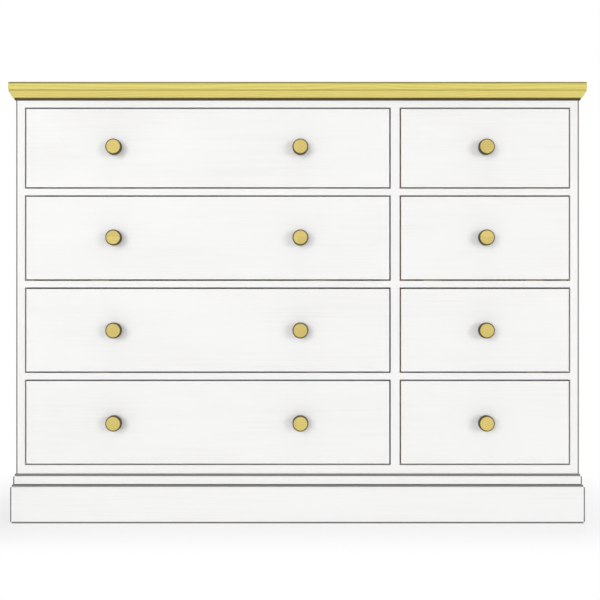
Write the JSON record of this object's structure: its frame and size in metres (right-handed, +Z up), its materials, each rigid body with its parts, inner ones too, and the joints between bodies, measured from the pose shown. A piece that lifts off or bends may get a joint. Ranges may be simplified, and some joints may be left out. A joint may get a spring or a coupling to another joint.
{
  "type": "chest of drawers",
  "caption": "Wide white-painted chest of drawers: a column of wide and a column of narrow flush drawers with turned wooden knobs, on a stepped plinth under a corniced wooden top.",
  "frame": {"origin": "on the floor under the middle of the chest's whole box, knobs included", "axes": "+X along the width, to the right seen from the front; +Y to the back, drawers open along -Y; +Z up"},
  "size_m": [1.311, 0.48, 1.002],
  "materials": {
    "white_paint": "satin white paint",
    "golden_wood": "lacquered yellow wood",
    "drawer_pine": "planed, waxed",
    "bare_pine": "planed, bare",
    "plywood": "sanded, sealed",
    "zinc_steel": "zinc plated"
  },
  "bodies": {
    "case": {"plinth_front": "white_paint", "plinth_left": "white_paint", "plinth_right": "white_paint", "base_moulding_front": "white_paint", "base_moulding_left": "white_paint", "base_moulding_right": "white_paint", "side_panel_left": "white_paint", "side_panel_right": "white_paint", "centre_partition": "white_paint", "base_board": "white_paint", "front_top_rail": "white_paint", "drawer_rails_left": "white_paint", "drawer_rails_right": "white_paint", "plinth_back": "bare_pine", "plinth_corner_blocks": "bare_pine", "base_moulding_back": "bare_pine", "rear_top_rail": "bare_pine", "drawer_runners_left": "bare_pine", "drawer_runners_right": "bare_pine", "top_kickers": "bare_pine", "drawer_stops": "bare_pine", "back_boards": "bare_pine", "cornice_front": "golden_wood", "cornice_left": "golden_wood", "cornice_right": "golden_wood", "cornice_back": "golden_wood", "top_board": "golden_wood", "assembly_screws": "zinc_steel"},
    "wide_drawer_1": {"wide_drawer_1_front": "white_paint", "wide_drawer_1_box": "drawer_pine", "wide_drawer_1_bottom": "plywood", "wide_drawer_1_knobs": "golden_wood"},
    "wide_drawer_2": {"wide_drawer_2_front": "white_paint", "wide_drawer_2_box": "drawer_pine", "wide_drawer_2_bottom": "plywood", "wide_drawer_2_knobs": "golden_wood"},
    "wide_drawer_3": {"wide_drawer_3_front": "white_paint", "wide_drawer_3_box": "drawer_pine", "wide_drawer_3_bottom": "plywood", "wide_drawer_3_knobs": "golden_wood"},
    "wide_drawer_4": {"wide_drawer_4_front": "white_paint", "wide_drawer_4_box": "drawer_pine", "wide_drawer_4_bottom": "plywood", "wide_drawer_4_knobs": "golden_wood"},
    "narrow_drawer_1": {"narrow_drawer_1_front": "white_paint", "narrow_drawer_1_box": "drawer_pine", "narrow_drawer_1_bottom": "plywood", "narrow_drawer_1_knob": "golden_wood"},
    "narrow_drawer_2": {"narrow_drawer_2_front": "white_paint", "narrow_drawer_2_box": "drawer_pine", "narrow_drawer_2_bottom": "plywood", "narrow_drawer_2_knob": "golden_wood"},
    "narrow_drawer_3": {"narrow_drawer_3_front": "white_paint", "narrow_drawer_3_box": "drawer_pine", "narrow_drawer_3_bottom": "plywood", "narrow_drawer_3_knob": "golden_wood"},
    "narrow_drawer_4": {"narrow_drawer_4_front": "white_paint", "narrow_drawer_4_box": "drawer_pine", "narrow_drawer_4_bottom": "plywood", "narrow_drawer_4_knob": "golden_wood"}
  },
  "joints": [
    {"name": "wide_drawer_1_slide", "type": "slide", "parent": "case", "child": "wide_drawer_1", "axis": [0, -1, 0], "range_m": [0, 0.3]},
    {"name": "wide_drawer_2_slide", "type": "slide", "parent": "case", "child": "wide_drawer_2", "axis": [0, -1, 0], "range_m": [0, 0.3]},
    {"name": "wide_drawer_3_slide", "type": "slide", "parent": "case", "child": "wide_drawer_3", "axis": [0, -1, 0], "range_m": [0, 0.3]},
    {"name": "wide_drawer_4_slide", "type": "slide", "parent": "case", "child": "wide_drawer_4", "axis": [0, -1, 0], "range_m": [0, 0.3]},
    {"name": "narrow_drawer_1_slide", "type": "slide", "parent": "case", "child": "narrow_drawer_1", "axis": [0, -1, 0], "range_m": [0, 0.3]},
    {"name": "narrow_drawer_2_slide", "type": "slide", "parent": "case", "child": "narrow_drawer_2", "axis": [0, -1, 0], "range_m": [0, 0.3]},
    {"name": "narrow_drawer_3_slide", "type": "slide", "parent": "case", "child": "narrow_drawer_3", "axis": [0, -1, 0], "range_m": [0, 0.3]},
    {"name": "narrow_drawer_4_slide", "type": "slide", "parent": "case", "child": "narrow_drawer_4", "axis": [0, -1, 0], "range_m": [0, 0.3]}
  ]
}
